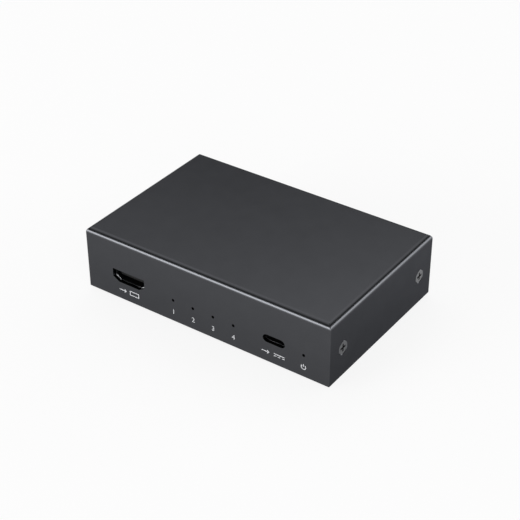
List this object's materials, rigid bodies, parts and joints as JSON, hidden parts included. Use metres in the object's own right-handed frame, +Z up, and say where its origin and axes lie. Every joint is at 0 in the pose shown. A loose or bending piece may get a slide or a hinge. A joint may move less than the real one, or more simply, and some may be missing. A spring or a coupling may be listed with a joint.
{
  "type": "hdmi splitter",
  "caption": "Flat metal-cased video splitter: a video input, indicator lamps and a power input at the front, video outputs at the rear, under a one-piece cover.",
  "frame": {"origin": "middle of the footprint, on the surface that the feet stand on", "axes": "+X right as seen from the front, +Y from the front to the rear, +Z up"},
  "size_m": [0.108, 0.0696, 0.027],
  "materials": {
    "case_anodised": "slate-grey fine satin anodised aluminium",
    "base_anodised": "dark grey satin anodised aluminium",
    "screw_steel": "satin nickel-plated steel",
    "zinc_steel": "zinc-plated steel",
    "brass": "turned brass",
    "insulating_film": "milky film",
    "rubber": "matt black rubber",
    "board_laminate": "black solder resist on glass laminate",
    "socket_shell": "dark nickel-plated steel sheet",
    "socket_plastic": "black moulded plastic",
    "contact_gold": "gold-plated copper alloy",
    "lamp_clear": "water-clear epoxy",
    "holder_plastic": "black moulded plastic",
    "chip_plastic": "black moulding compound",
    "pad_silicone": "grey-blue silicone",
    "sink_aluminium": "black anodised aluminium",
    "can_aluminium": "bare drawn aluminium",
    "crystal_steel": "nickel-plated steel can",
    "ferrite": "dark grey ferrite",
    "fuse_polymer": "green resettable fuse",
    "ceramic_tan": "fired ceramic with tinned ends",
    "resistor_black": "glazed thick film with tinned ends"
  },
  "bodies": {
    "root": {"top_cover": "case_anodised", "base_plate": "base_anodised", "cover_screws": "screw_steel", "clinch_nuts": "zinc_steel", "board_standoffs": "brass", "board_screws": "zinc_steel", "insulating_sheet": "insulating_film", "main_board": "board_laminate", "power_in_shell": "socket_shell", "power_in_insulator": "socket_plastic", "power_in_contacts": "contact_gold", "power_in_riser": "socket_plastic", "power_lamp": "lamp_clear", "power_lamp_holder": "holder_plastic", "splitter_chip": "chip_plastic", "thermal_pad": "pad_silicone", "heat_sink": "sink_aluminium", "controller_chip": "chip_plastic", "memory_chip": "chip_plastic", "clock_crystal": "crystal_steel", "regulator_chips": "chip_plastic", "power_inductors": "ferrite", "capacitor_bases": "holder_plastic", "capacitor_cans": "can_aluminium", "power_fuse": "fuse_polymer", "chip_capacitors": "ceramic_tan", "chip_resistors": "resistor_black", "surge_arrays": "chip_plastic", "header_base": "holder_plastic", "header_pins": "contact_gold", "foot_front_left": "rubber", "foot_front_right": "rubber", "foot_rear_left": "rubber", "foot_rear_right": "rubber", "video_in_shell": "socket_shell", "video_in_insulator": "socket_plastic", "video_in_contacts": "contact_gold", "output_1_shell": "socket_shell", "output_1_insulator": "socket_plastic", "output_1_contacts": "contact_gold", "output_2_shell": "socket_shell", "output_2_insulator": "socket_plastic", "output_2_contacts": "contact_gold", "output_3_shell": "socket_shell", "output_3_insulator": "socket_plastic", "output_3_contacts": "contact_gold", "output_4_shell": "socket_shell", "output_4_insulator": "socket_plastic", "output_4_contacts": "contact_gold", "status_lamp_1": "lamp_clear", "lamp_holder_1": "holder_plastic", "status_lamp_2": "lamp_clear", "lamp_holder_2": "holder_plastic", "status_lamp_3": "lamp_clear", "lamp_holder_3": "holder_plastic", "status_lamp_4": "lamp_clear", "lamp_holder_4": "holder_plastic"}
  },
  "joints": []
}
